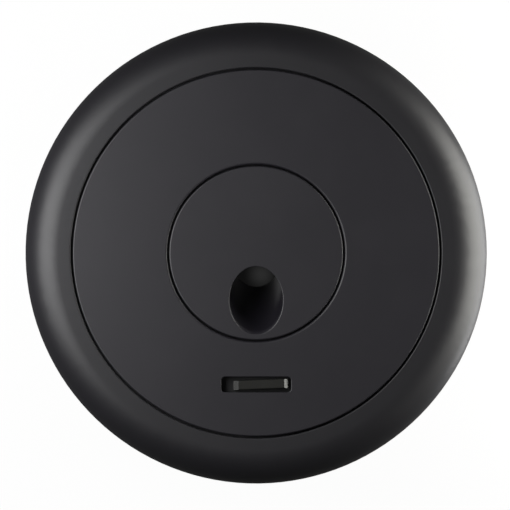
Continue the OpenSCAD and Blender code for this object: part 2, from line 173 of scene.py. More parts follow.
a_length = setting(bpy.props.FloatProperty, precision=5, unit="LENGTH")
a_share = setting(bpy.props.FloatProperty, min=0, max=1, subtype="FACTOR")
a_power = setting(bpy.props.FloatProperty, min=0, unit="POWER")
a_strength = setting(bpy.props.FloatProperty, min=0)
a_colour = setting(bpy.props.FloatVectorProperty, size=3, min=0, max=1, subtype="COLOR")
a_place = setting(bpy.props.FloatVectorProperty, size=3, precision=4, subtype="XYZ", unit="LENGTH")
an_extent = setting(bpy.props.FloatVectorProperty, size=2, precision=4, unit="LENGTH")


class EdgeSettings(bpy.types.PropertyGroup):
    """Radii of the crisp edges."""

    slot: a_length("Slot edge", "Edge radius round the tab's slot in the lid", 0.2 * MM)
    hole: a_length("Hole edge", "Edge radius of the lid's hole round the turret", 0.5 * MM)
    mouth: a_length("Mouth edge", "Edge radius round the turret's slanted mouth", 0.22 * MM)
    inner: a_length("Inner edge", "Edge radius on the moulded pieces below the face", 0.1 * MM)
    metal: a_length("Metal edge", "Edge radius on the small turned and stamped pieces", 0.06 * MM)


class ScrewSettings(bpy.types.PropertyGroup):
    """Threads of the screws."""

    clamp_thread: a_length("Clamp thread", "Outer diameter of the clamp screws' thread", 4 * MM)
    clamp_pitch: a_length("Clamp pitch", "Pitch of the clamp screws' thread", 0.7 * MM)
    plate_thread: a_length("Plate thread", "Outer diameter of the backing plate screws' thread", 2.2 * MM)
    plate_pitch: a_length("Plate pitch", "Pitch of the backing plate screws' thread", 0.8 * MM)
    depth_share: a_share("Thread depth", "Depth of a thread as a share of its pitch", 0.5)


class SoftSettings(bpy.types.PropertyGroup):
    """Foam and rubber pieces."""

    swell_width: a_length("Swell width", "Width of the uneven swells on the soft rings", 2.2 * MM)
    foam_rise: a_length("Foam rise", "Height of the swells on the foam gasket", 0.12 * MM)
    groove_pitch: a_length("Groove pitch", "Distance between the grip grooves in a claw's pad", 1.1 * MM)
    groove_width: a_length("Groove width", "Width of a grip groove", 0.45 * MM)
    groove_depth: a_length("Groove depth", "Depth of a grip groove", 0.4 * MM)


class ColourSettings(bpy.types.PropertyGroup):
    """Colours of the finishes."""

    flange: a_colour("Flange", "Satin plastic of the flange", (0.0080, 0.0076, 0.0097))
    satin: a_colour("Satin", "Satin plastic of the lid and turret", (0.0080, 0.0072, 0.0105))
    inner: a_colour("Inner", "Plain plastic of the lock ring and plate", (0.012, 0.012, 0.0125))
    tab: a_colour("Tab", "Polished plastic of the lock's tab", (0.0095, 0.0095, 0.0082))
    nylon: a_colour("Nylon", "Glass-filled nylon of the claws", (0.024, 0.024, 0.025))
    foam: a_colour("Foam", "Closed-cell foam of the desk gasket", (0.045, 0.045, 0.047))
    rubber: a_colour("Rubber", "Rubber of the pads, cushion and washer", (0.022, 0.022, 0.022))
    zinc: a_colour("Zinc", "Zinc plating of the screws", (0.62, 0.63, 0.65))
    spring: a_colour("Spring steel", "Dark spring steel of the clips", (0.16, 0.155, 0.15))
    brass: a_colour("Brass", "Brass of the threaded inserts", (0.72, 0.50, 0.22))


class StageSettings(bpy.types.PropertyGroup):
    """Camera, lights and floor."""

    camera_distance: a_length("Camera distance", "Height of the camera above the desk top", 5.0)
    key_place: a_place("Key place", "Place of the soft light above the left side", (-0.1216, 0.0171, 0.1056))
    key_size: an_extent("Key size", "Width and height of the light above the left side", (0.1259, 0.1404))
    key_power: a_power("Key power", "Power of the light above the left side", 0.403)
    rim_place: a_place("Rim place", "Place of the low light at the right", (0.1467, 0.0152, 0.0208))
    rim_size: an_extent("Rim size", "Width and height of the low light at the right", (0.143, 0.1155))
    rim_power: a_power("Rim power", "Power of the low light at the right", 0.4685)
    rim_tint: a_colour("Rim tint", "Slightly warm colour of the low light at the right", (1, 0.995, 0.94))
    edge_place: a_place(
        "Edge place", "Place of the small light beside the flange's right edge", (0.085, -0.006, -0.0235))
    edge_size: an_extent(
        "Edge size", "Width and height of the light beside the flange's right edge", (0.085, 0.025))
    edge_power: a_power("Edge power", "Power of the light beside the flange's right edge", 0.03)
    left_glow: a_strength(
        "Left glow", "Strength of the light that comes up from the left through the open end", 0.26)
    front_glow: a_strength(
        "Front glow", "Strength of the light that comes up from the front through the open end", 0.9)
    ambient: a_strength("Ambient", "Strength of the even light from all round", 0.0884)
    floor_radius: a_length("Floor radius", "Radius of the round floor", 3.0)
    floor_bounce: a_share("Floor bounce", "Share of light that the floor throws back at the grommet", 0.12)
    # The floor that shows through the cable outlet is painted: this is the tone of its painted pool of light, in
    # painted shade
    well_tone: a_share("Well tone", "Lightness of the floor that shows through the cable outlet", 0.024)


class GrommetSettings(bpy.types.PropertyGroup):
    """All settings of the grommet's looks."""

    edges: bpy.props.PointerProperty(type=EdgeSettings)
    screws: bpy.props.PointerProperty(type=ScrewSettings)
    soft: bpy.props.PointerProperty(type=SoftSettings)
    colours: bpy.props.PointerProperty(type=ColourSettings)
    stage: bpy.props.PointerProperty(type=StageSettings)


# Node trees written as expressions


def operation(kind, reflected=False):
    """A method that adds a Math node for one of Python's operators."""
    def method(self, *other):
        return self.graph.math(kind, *((*other, self) if reflected else (self, *other)))
    return method


class Value:
    """An output socket that takes part in Python expressions."""

    def __init__(self, graph, socket):
        self.graph = graph
        self.socket = socket

    __add__ = operation("ADD")
    __radd__ = operation("ADD", reflected=True)
    __sub__ = operation("SUBTRACT")
    __rsub__ = operation("SUBTRACT", reflected=True)
    __mul__ = operation("MULTIPLY")
    __rmul__ = operation("MULTIPLY", reflected=True)
    __truediv__ = operation("DIVIDE")
    __rtruediv__ = operation("DIVIDE", reflected=True)
    __pow__ = operation("POWER")
    __abs__ = operation("ABSOLUTE")

    def __neg__(self):
        return self * -1


class Graph:
    """A node tree, filled by calls and expressions."""

    def __init__(self, tree):
        self.tree = tree

    def node(self, kind, settings=None, sockets=None, out=0):
        """Adds a node, with its settings first and then its sockets' values or links."""
        made = self.tree.nodes.new(kind)
        for key, value in (settings or {}).items():
            setattr(made, key, value)
        for key, value in (sockets or {}).items():
            for item in value if isinstance(value, list) else [value]:
                if isinstance(item, Value):
                    self.tree.links.new(item.socket, made.inputs[key])
                else:
                    made.inputs[key].default_value = item
        if not made.outputs:
            return None
        return Value(self, made.outputs[out])

    def other(self, value, out):
        """Another output of the node that a value comes from."""
        return Value(self, value.socket.node.outputs[out])

    def math(self, operation, *operands):
        """One Math node."""
        return self.node("ShaderNodeMath", {"operation": operation}, dict(enumerate(operands)))

    def limit(self, value):
        """A value held between 0 and 1."""
        return self.node("ShaderNodeClamp", sockets={"Value": value})

    def ramp(self, value, low, high):
        """A smooth rise from 0 at low to 1 at high."""
        sockets = {"Value": value, "From Min": low, "From Max": high}
        return self.node("ShaderNodeMapRange", {"interpolation_type": "SMOOTHSTEP"}, sockets)

    def distance(self, x, y):
        """How far a point of the ground plan lies from its middle."""
        return self.math("SQRT", x * x + y * y)

    def vector(self, x, y, z):
        """A vector from its three parts."""
        return self.node("ShaderNodeCombineXYZ", sockets={"X": x, "Y": y, "Z": z})

    def grey(self, tone):
        """A grey colour."""
        return self.vector(tone, tone, tone)

    def parts(self, vector):
        """The three parts of a vector."""
        x = self.node("ShaderNodeSeparateXYZ", sockets={"Vector": vector})
        return x, self.other(x, "Y"), self.other(x, "Z")

    def noise(self, place, size, detail, roughness=0.5):
        """Cloudy noise whose features are about size wide."""
        sockets = {"Vector": place, "Scale": 1 / size, "Detail": detail, "Roughness": roughness}
        return self.node("ShaderNodeTexNoise", sockets=sockets)


class Finish(Graph):
    """A material on Object coordinates, ending in one Principled shader."""

    def __init__(self, name):
        self.material = bpy.data.materials.new(name)
        self.material.use_nodes = True
        super().__init__(self.material.node_tree)
        self.tree.nodes.clear()
        self.place = self.node("ShaderNodeTexCoord", out="Object")

    def stretched(self, x, y, z):
        """Object coordinates with each axis scaled, for grain that runs one way."""
        return self.node("ShaderNodeMapping", sockets={"Vector": self.place, "Scale": (x, y, z)})

    def swing(self, noise, spread):
        """A noise's rise and fall about its middle."""
        return spread * (noise - NOISE_MIDDLE)

    def tint(self, colour, tone):
        """A colour made darker or lighter by a value."""
        sockets = {"Vector": tuple(colour), "Scale": tone}
        return self.node("ShaderNodeVectorMath", {"operation": "SCALE"}, sockets)

    def bump(self, height, rise, strength):
        """A normal that leans as height rises and falls by rise."""
        sockets = {"Height": height, "Distance": rise, "Strength": strength}
        return self.node("ShaderNodeBump", sockets=sockets)

    def done(self, **sockets):
        """Adds the shader and the output, and returns the material."""
        named = {key.replace("_", " "): value for key, value in sockets.items()}
        shader = self.node("ShaderNodeBsdfPrincipled", sockets=named)
        self.node("ShaderNodeOutputMaterial", sockets={"Surface": shader})
        return self.material


# Finishes


def satin_finish(name, colour, shine, show_from):
    """Satin black plastic: a fine eroded grain where it shows, plainer and glossier on hidden walls below, with
    painted shade darkening them.
    """
    made = Finish(name)
    height = made.parts(made.place)[2]
    shown = made.ramp(height, show_from - GRAIN_AND_SHADE_FADE, show_from)
    grain = made.noise(made.place, 0.22 * MM, detail=3)
    pores = made.noise(made.place, 0.6 * MM, detail=1)
    cloud = made.noise(made.place, 14 * MM, detail=3)
    handling = made.noise(made.place, 5 * MM, detail=4, roughness=0.6)
    # Below show_from the base colour is painted darker: painted shade on the bore's walls and under the face
    tone = (0.9 + 0.12 * cloud + 0.08 * grain) * (0.75 + 0.25 * shown)
    gloss = SATIN_ROUGHNESS + made.swing(cloud, 0.05) + made.swing(handling, 0.04)
    texture = shown * (0.7 * grain + 0.3 * pores) + 0.25 * (1 - shown) * cloud
    return made.done(
        Base_Color=made.tint(colour, tone),
        Roughness=made.limit(gloss - HIDDEN_SMOOTHNESS * (1 - shown)),
        Specular_IOR_Level=shine,
        Normal=made.bump(texture, rise=0.012 * MM, strength=0.6),
    )


def inner_finish(name, colour, roughness, shine):
    """Plain black plastic with faint flow lines and a slightly uneven gloss."""
    made = Finish(name)
    flow = made.noise(made.stretched(1, 1, 0.25), 6 * MM, detail=4, roughness=0.55)
    grain = made.noise(made.place, 0.3 * MM, detail=2)
    return made.done(
        Base_Color=made.tint(colour, 0.85 + 0.3 * flow),
        Roughness=made.limit(roughness + made.swing(flow, 0.14) + made.swing(grain, 0.05)),
        Specular_IOR_Level=shine,
        Normal=made.bump(0.6 * flow + 0.4 * grain, rise=0.01 * MM, strength=0.5),
    )


def nylon_finish(name, colour):
    """Glass-filled nylon: short fibres drawn along the moulding, under a dull skin."""
    made = Finish(name)
    fibres = made.noise(made.stretched(1, 0.3, 1), 0.35 * MM, detail=3, roughness=0.6)
    cloud = made.noise(made.place, 4 * MM, detail=3)
    streak = made.ramp(fibres, low=0.56, high=0.72)
    return made.done(
        Base_Color=made.tint(colour, 0.85 + 0.2 * cloud + 0.5 * streak),
        Roughness=made.limit(0.5 - 0.12 * streak + made.swing(cloud, 0.1)),
        Normal=made.bump(fibres, rise=0.012 * MM, strength=0.6),
    )


def tab_finish(name, colour):
    """Polished plastic of the tab, with hairlines from the thumb along its length."""
    made = Finish(name)
    hairline = made.noise(made.stretched(0.06, 1, 1), 0.12 * MM, detail=2)
    cloud = made.noise(made.place, 3 * MM, detail=3)
    return made.done(
        Base_Color=made.tint(colour, 0.9 + 0.2 * cloud),
        Roughness=made.limit(0.3 + 0.14 * hairline + made.swing(cloud, 0.06)),
        Normal=made.bump(hairline, rise=0.004 * MM, strength=0.5),
    )


def foam_finish(name, colour):
    """Closed-cell foam: fine cells, some of them cut open, with painted shade in their pits."""
    made = Finish(name)
    cell = 0.42 * MM
    cells = made.node("ShaderNodeTexVoronoi", {"feature": "F1"}, {"Vector": made.place, "Scale": 1 / cell})
    cloud = made.noise(made.place, 3 * MM, detail=3)
    rim_rise_and_pit_shade = made.ramp(cells, low=0.15, high=0.75)
    return made.done(
        # The cells' pits are painted darker than their rims: painted shade in the recesses
        Base_Color=made.tint(colour, 0.55 + 0.5 * rim_rise_and_pit_shade + 0.3 * cloud),
        Roughness=made.limit(0.82 + 0.12 * cloud),
        Normal=made.bump(rim_rise_and_pit_shade, rise=0.09 * MM, strength=0.8),
    )


def rubber_finish(name, colour):
    """Matt rubber with a fine grain and a faint grey bloom."""
    made = Finish(name)
    grain = made.noise(made.place, 0.2 * MM, detail=3, roughness=0.6)
    cloud = made.noise(made.place, 2.5 * MM, detail=4, roughness=0.6)
    bloom = made.ramp(cloud, low=0.45, high=0.75)
    return made.done(
        Base_Color=made.tint(colour, 0.9 + 0.9 * bloom + 0.1 * grain),
        Roughness=made.limit(0.68 + 0.18 * bloom),
        Normal=made.bump(grain, rise=0.015 * MM, strength=0.6),
    )


def plated_finish(name, colour, roughness, lustre):
    """Plated or turned metal: lathe lines round the vertical axis of each piece and a cloudy lustre."""
    made = Finish(name)
    lines = made.noise(made.stretched(0.12, 0.12, 1), 0.07 * MM, detail=2)
    cloud = made.noise(made.place, 1.6 * MM, detail=4, roughness=0.6)
    return made.done(
        Base_Color=made.tint(colour, 1 - lustre + 2 * lustre * cloud),
        Metallic=1.0,
        Roughness=made.limit(roughness + made.swing(cloud, 0.2) + made.swing(lines, 0.1)),
        Normal=made.bump(lines, rise=0.004 * MM, strength=0.4),
    )


# Meshes


def show(name, mesh):
    """A new object at the origin that shows a mesh."""
    piece = bpy.data.objects.new(name, mesh)
    bpy.context.scene.collection.objects.link(piece)
    return piece


def settle(piece):
    """Turns a piece's modifiers into a plain mesh."""
    bpy.context.view_layer.update()
    mesh = bpy.data.meshes.new_from_object(piece.evaluated_get(bpy.context.evaluated_depsgraph_get()))
    piece.modifiers.clear()
    piece.data = mesh
    mesh.name = piece.name
    return piece


def bearing(corner):
    """The direction of a mesh's corner from the vertical axis."""
    return math.atan2(corner.co.y, corner.co.x)


def join_loops(edit, lower, upper):
    """Joins two loops of corners round the vertical axis, in order of bearing, with a strip of triangles."""
    last = [lower[-1], upper[-1]]
    for corner in sorted(lower + upper, key=bearing):
        edit.faces.new((*last, corner))
        last[0 if corner in lower else 1] = corner


class RoundEdge:
    """A rounded edge along a circle of a solid's top face, with the radius that the dressed one has there."""

    def __init__(self, circle, top, outward, radius=ROUND):
        self.circle = circle
        self.top = top
        self.side = 1 if outward else -1
        self.radius = radius

    def holds(self, place):
        """Tells whether a place lies on the solid's rounding."""
        out = self.side * (math.hypot(place.x, place.y) - self.circle) + ROUND
        up = place.z - self.top + ROUND
        return min(out, up) > -MERGE_DISTANCE and abs(math.hypot(out, up) - ROUND) < ROUND_SLACK

    def moved(self, place, lean):
        """The place of the same bearing on the dressed rounding at which its surface leans by an angle."""
        reach = self.circle + self.side * self.radius * (math.sin(lean) - 1)
        share = reach / math.hypot(place.x, place.y)
        return Vector((share * place.x, share * place.y, self.top + self.radius * (math.cos(lean) - 1)))

    def rebuild(self, edit):
        """Puts even rows of faces in place of the solid's uneven ones."""
        corners = {corner for corner in edit.verts if self.holds(corner.co)}
        uneven = [face for face in edit.faces if corners.issuperset(face.verts)
                  and min(corner.co.z for corner in face.verts) < self.top - MERGE_DISTANCE / 2]
        bmesh.ops.delete(edit, geom=uneven, context="FACES")
        rims = sorted((corner for corner in edit.verts if corner.is_boundary), key=bearing)
        upper = [corner for corner in rims if corner.co.z > self.top - ROUND / 2]
        row = [corner for corner in rims if corner not in upper]
        for corner in upper:
            corner.co = self.moved(corner.co, 0)
        for corner in row:
            corner.co = self.moved(corner.co, math.pi / 2)
        for step in range(1, ROUND_ROWS):
            lean = (1 - step / ROUND_ROWS) * math.pi / 2
            above = [edit.verts.new(self.moved(corner.co, lean)) for corner in row]
            for index, corner in enumerate(row):
                edit.faces.new((row[index - 1], corner, above[index], above[index - 1]))
            row = above
        join_loops(edit, row, upper)
        bmesh.ops.recalc_face_normals(edit, faces=edit.faces)


def merged_mesh(node, name, radius=0.0, low=-math.inf, high=math.inf, room=ROOM_SHARE, round_edges=()):
    """A copy of a node's triangles, joined at their edges, with crisp edges marked sharp.

    With a radius, the crisp edges between the heights low and high get a bevel's weight instead where they
    have room: the edges around them are longer than room times the radius. The flat faces beside them are
    made whole first.
    """
    edit = bmesh.new()
    edit.from_mesh(frame["nodes"][node].data)
    bmesh.ops.remove_doubles(edit, verts=edit.verts, dist=MERGE_DISTANCE)
    for edge in round_edges:
        edge.rebuild(edit)

    def crisp(edge):
        return edge.calc_face_angle(0) > CRISP_ANGLE

    def within(edge):
        return bool(radius) and all(low < corner.co.z < high for corner in edge.verts)

    beside = {face for edge in edit.edges if crisp(edge) and within(edge)
              for corner in edge.verts for face in corner.link_faces}
    seams = [edge for edge in edit.edges if beside.issuperset(edge.link_faces)]
    bmesh.ops.dissolve_limit(edit, angle_limit=FLAT_ANGLE, edges=seams)
    weight = edit.edges.layers.float.new("bevel_weight_edge")
    for face in edit.faces:
        face.smooth = True
        face.material_index = 0
    for edge in edit.edges:
        shortest = min(near.calc_length() for corner in edge.verts for near in corner.link_edges)
        rounded = crisp(edge) and within(edge) and shortest > room * radius
        edge[weight] = float(rounded)
        edge.smooth = rounded or not crisp(edge)
    mesh = bpy.data.meshes.new(name)
    edit.to_mesh(mesh)
    edit.free()
    for leftover in ("custom_normal", "sharp_face"):
        if leftover in mesh.attributes:
            mesh.attributes.remove(mesh.attributes[leftover])
    return mesh


def rounded_copy(node, name, material, radius=0.0, **choice):
    """A copy of a node with its crisp edges rounded, all of them or a choice that merged_mesh makes."""
    mesh = merged_mesh(node, name, radius, **choice)
    mesh.materials.append(material)
    piece = show(name, mesh)
    if radius:
        bevel = piece.modifiers.new("Edge radius", "BEVEL")
        bevel.width = radius
        bevel.segments = BEVEL_ROWS
        bevel.limit_method = "WEIGHT"
        bevel.use_clamp_overlap = False
    even = piece.modifiers.new("Even normals", "WEIGHTED_NORMAL")
    even.keep_sharp = True
    return settle(piece)


def place_piece(piece, node):
    """Lets a finished piece stand for its node, on the node's own body."""
    body = next(b for b, nodes in frame["record"]["behaviour"]["bodies"].items() if node in nodes)
    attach(piece, body)
    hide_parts(node)


def dress(node, name, slot, *finish, **choice):
    """Lets a rounded copy of a node stand for it."""
    place_piece(rounded_copy(node, name, *finish, **choice), node)


# Geometry trees


class Shape(Graph):
    """A geometry tree with named inputs for its sizes."""

    def __init__(self, name):
        super().__init__(bpy.data.node_groups.new(name, "GeometryNodeTree"))
        self.tree.interface.new_socket("Geometry", in_out="OUTPUT", socket_type="NodeSocketGeometry")
        self.tree.interface.new_socket("Geometry", in_out="INPUT", socket_type="NodeSocketGeometry")
        self.given = self.tree.nodes.new("NodeGroupInput")
        self.result = self.tree.nodes.new("NodeGroupOutput")

    def size(self, name, kind="NodeSocketFloat"):
        """Adds a named input and returns its value."""
        self.tree.interface.new_socket(name, in_out="INPUT", socket_type=kind)
        return Value(self, self.given.outputs[name])

    def sizes(self, *names):
        """Adds several named inputs."""
        return [self.size(name) for name in names]

    def base(self):
        """The mesh that the tree is put on."""
        return Value(self, self.given.outputs["Geometry"])

    def position(self):
        """Where a point is."""
        return self.node("GeometryNodeInputPosition")

    def cylinder(self, sides, radius, depth):
        """An upright cylinder in the middle."""
        sockets = {"Vertices": sides, "Radius": radius, "Depth": depth}
        return self.node("GeometryNodeMeshCylinder", {"fill_type": "NGON"}, sockets)

    def blank(self, sides, radius, depth, rows, rings):
        """A cylinder to be shaped: its wall has rows of faces and its ends have rings of them."""
        sockets = {"Vertices": sides, "Radius": radius, "Depth": depth}
        sockets |= {"Side Segments": rows, "Fill Segments": rings}
        return self.node("GeometryNodeMeshCylinder", {"fill_type": "TRIANGLE_FAN"}, sockets)

    def moved(self, mesh, position):
        """A mesh with its points put elsewhere."""
        return self.node("GeometryNodeSetPosition", sockets={"Geometry": mesh, "Position": position})

    def transformed(self, mesh, **sockets):
        """A mesh that is shifted, turned or scaled."""
        return self.node("GeometryNodeTransform", sockets={"Geometry": mesh, **sockets})

    def joined(self, *meshes):
        """Several meshes as one."""
        return self.node("GeometryNodeJoinGeometry", sockets={"Geometry": list(meshes)})

    def minus(self, mesh, *cutters):
        """A mesh with others cut out of it."""
        sockets = {"Mesh 1": mesh, "Mesh 2": list(cutters)}
        return self.node("GeometryNodeMeshBoolean", {"operation": "DIFFERENCE", "solver": "EXACT"}, sockets)

    def circle(self, count, radius, first_angle, level):
        """Points in even steps round the vertical axis."""
        angle = first_angle + self.node("GeometryNodeInputIndex") * math.tau / count
        place = self.vector(radius * self.math("COSINE", angle), radius * self.math("SINE", angle), level)
        return self.node("GeometryNodePoints", sockets={"Count": count, "Position": place})

    def copies(self, points, mesh):
        """Copies of a mesh on points, made real."""
        copies = self.node("GeometryNodeInstanceOnPoints", sockets={"Points": points, "Instance": mesh})
        return self.node("GeometryNodeRealizeInstances", sockets={"Geometry": copies})

    def smooth(self, mesh):
        """A mesh shaded smooth, but for its crisp edges."""
        angle = self.node("GeometryNodeInputMeshEdgeAngle")
        crisp = self.math("GREATER_THAN", angle, CRISP_ANGLE)
        sockets = {"Geometry": mesh, "Shade Smooth": True}
        soft = self.node("GeometryNodeSetShadeSmooth", {"domain": "FACE"}, sockets)
        sockets = {"Geometry": soft, "Selection": crisp, "Shade Smooth": False}
        return self.node("GeometryNodeSetShadeSmooth", {"domain": "EDGE"}, sockets)

    def finished(self, mesh):
        """Ends the tree: copies made real, and the finish set from a named input."""
        real = self.node("GeometryNodeRealizeInstances", sockets={"Geometry": mesh})
        finish = self.size("Finish", "NodeSocketMaterial")
        painted = self.node("GeometryNodeSetMaterial", sockets={"Geometry": real, "Material": finish})
        self.tree.links.new(painted.socket, self.result.inputs["Geometry"])

    def grow(self, name, sizes, mesh=None):
        """Runs the tree with the given sizes and returns a piece with a plain mesh."""
        piece = show(name, mesh or bpy.data.meshes.new(name))
        modifier = piece.modifiers.new(self.tree.name, "NODES")
        modifier.node_group = self.tree
        for item in self.tree.interface.items_tree:
            if item.in_out == "INPUT" and item.name in sizes:
                modifier[item.identifier] = sizes[item.name]
        return settle(piece)


def screw_shape():
    """Cross-head screws on a circle: each has a domed head on its seat and a threaded shank below it."""
    shape = Shape("Cross-head screws")
    count = shape.size("Count", "NodeSocketInt")
    circle, first_angle, seat = shape.sizes("Circle radius", "First angle", "Seat height")
    flip = shape.size("Flip")
    radius, length, plain, pitch, depth = shape.sizes(
        "Shank radius", "Length", "Plain length", "Pitch", "Thread depth")
    groove_top, groove_bottom, groove_depth = shape.sizes("Groove top", "Groove bottom", "Groove depth")
    stop_radius, stop_height = shape.sizes("Stop radius", "Stop height")
    head_radius, head_height = shape.sizes("Head radius", "Head height")

    # Shank: the rows follow the pitch, and each point moves in or out with its place on the thread
    shank_sides = 40
    rows_per_turn = 8
    flank_slope = 1.35
    blank = shape.blank(shank_sides, radius, length, rows=rows_per_turn * length / pitch, rings=1)
    x, y, z = shape.parts(shape.position())
    below = length / 2 - z
    turn = shape.math("FRACT", below / pitch + shape.math("ARCTAN2", y, x) / math.tau)
    flank = shape.math("MINIMUM", flank_slope * (1 - abs(2 * turn - 1)), 1)
    run_in = shape.limit((below - plain) / pitch)
    run_out = shape.limit((length - below) / pitch)
    in_groove = (shape.math("GREATER_THAN", below, groove_top)
                 * shape.math("LESS_THAN", below, groove_bottom))
    slim = 1 - (depth * (1 - flank) * run_in * run_out + groove_depth * in_groove) / radius
    shank = shape.moved(blank, shape.vector(x * slim, y * slim, -below))

    # Stop at the shank's end
    stop = shape.cylinder(shank_sides, stop_radius, stop_height)
    stop = shape.transformed(stop, Translation=shape.vector(0, 0, -length - stop_height / 2))

    # Head: a blank is domed above its rim, and a cross recess with a pointed middle is cut into it. The
    # recess is given in radii and heights of the head
    head_sides = 64
    rim_share = 0.5
    blade_length, blade_width, blade_height = 1.15, 0.24, 0.9
    point_sides, point_radius, point_height, point_foot = 24, 0.36, 0.8, 0.25
    cap = shape.blank(head_sides, head_radius, head_height, rows=3, rings=10)
    x, y, z = shape.parts(shape.position())
    reach = (x * x + y * y) / (head_radius * head_radius)
    dome = shape.math("SQRT", shape.math("MAXIMUM", 1 - reach, 0))
    rise = (z + head_height / 2) * (rim_share + (1 - rim_share) * dome)
    cap = shape.moved(cap, shape.vector(x, y, rise))
    blade = shape.vector(blade_length * head_radius, blade_width * head_radius, blade_height * head_height)
    block = shape.node("GeometryNodeMeshCube", sockets={"Size": blade})
    level = shape.vector(0, 0, head_height)
    first = shape.transformed(block, Translation=level)
    second = shape.transformed(block, Translation=level, Rotation=(0, 0, math.pi / 2))
    point = shape.node("GeometryNodeMeshCone", sockets={
        "Vertices": point_sides, "Radius Top": point_radius * head_radius, "Radius Bottom": 0.0,
        "Depth": point_height * head_height})
    point = shape.transformed(point, Translation=shape.vector(0, 0, point_foot * head_height))
    head = shape.minus(cap, first, second, point)

    # Screws stand on the circle, upright or with the head down
    screw = shape.smooth(shape.joined(shank, stop, head))
    screw = shape.transformed(screw, Rotation=shape.vector(flip * math.pi, 0, 0))
    shape.finished(shape.copies(shape.circle(count, circle, first_angle, seat), screw))
    return shape


def soft_ring_shape():
    """A ring of foam or rubber with a full, rounded section whose surface swells unevenly."""
    shape = Shape("Soft ring")
    outer, inner, low, high = shape.sizes("Outer radius", "Inner radius", "Bottom", "Top")
    swell, rise, fullness = shape.sizes("Swell width", "Swell height", "Fullness")

    # A square sheet is bent: one side goes round the ring and the other round its section
    ring_sides = 240
    section_sides = 32
    sheet = shape.node("GeometryNodeMeshGrid", sockets={
        "Size X": 1.0, "Size Y": 1.0, "Vertices X": ring_sides + 1, "Vertices Y": section_sides + 1})
    x, y, _ = shape.parts(shape.position())
    around = x * math.tau
    section = y * math.tau

    def full(value):
        """Rounds the section out towards a rectangle."""
        return shape.math("SIGN", value) * abs(value) ** fullness

    out = (outer - inner) / 2 * full(shape.math("COSINE", section)) + (outer + inner) / 2
    up = (high - low) / 2 * full(shape.math("SINE", section)) + (high + low) / 2
    ring = shape.moved(sheet, shape.vector(
        out * shape.math("COSINE", around), out * shape.math("SINE", around), up))
    ring = shape.node("GeometryNodeMergeByDistance", sockets={"Geometry": ring, "Distance": MERGE_DISTANCE})

    # The noise hardly passes this value, so the swells go inwards
    highest_swell = 0.75
    clouds = shape.noise(shape.position(), swell, detail=2)
    sockets = {0: shape.node("GeometryNodeInputNormal"), "Scale": (clouds - highest_swell) * rise}
    shift = shape.node("ShaderNodeVectorMath", {"operation": "SCALE"}, sockets)
    ring = shape.node("GeometryNodeSetPosition", sockets={"Geometry": ring, "Offset": shift})
    shape.finished(shape.smooth(ring))
    return shape


def grip_shape():
    """Grooves across the top of a pad, in even steps along it."""
    shape = Shape("Grip grooves")
    count = shape.size("Count", "NodeSocketInt")
    centre = shape.size("First groove", "NodeSocketVector")
    pitch, width, depth, reach = shape.sizes("Pitch", "Width", "Depth", "Reach")
    line = shape.node("GeometryNodeMeshLine", {"mode": "OFFSET", "count_mode": "TOTAL"}, {
        "Count": count, "Start Location": centre, "Offset": shape.vector(0, pitch, 0)})
    bar = shape.cylinder(sides=12, radius=1.0, depth=reach)
    bar = shape.transformed(bar, Rotation=(0, math.pi / 2, 0))
    bar = shape.transformed(bar, Scale=shape.vector(1, width / 2, depth))
    shape.finished(shape.smooth(shape.minus(shape.base(), shape.copies(line, bar))))
    return shape


def mark_shape():
    """Shallow round marks that ejector pins leave on the back of a moulding."""
    shape = Shape("Ejector marks")
    count = shape.size("Count", "NodeSocketInt")
    circle, first_angle, level, radius, depth = shape.sizes(
        "Circle radius", "First angle", "Level", "Mark radius", "Mark depth")
    pin = shape.cylinder(sides=32, radius=radius, depth=2 * depth)
    pins = shape.copies(shape.circle(count, circle, first_angle, level), pin)
    shape.finished(shape.smooth(shape.minus(shape.base(), pins)))
    return shape


# Operators, one for each piece or group of like pieces


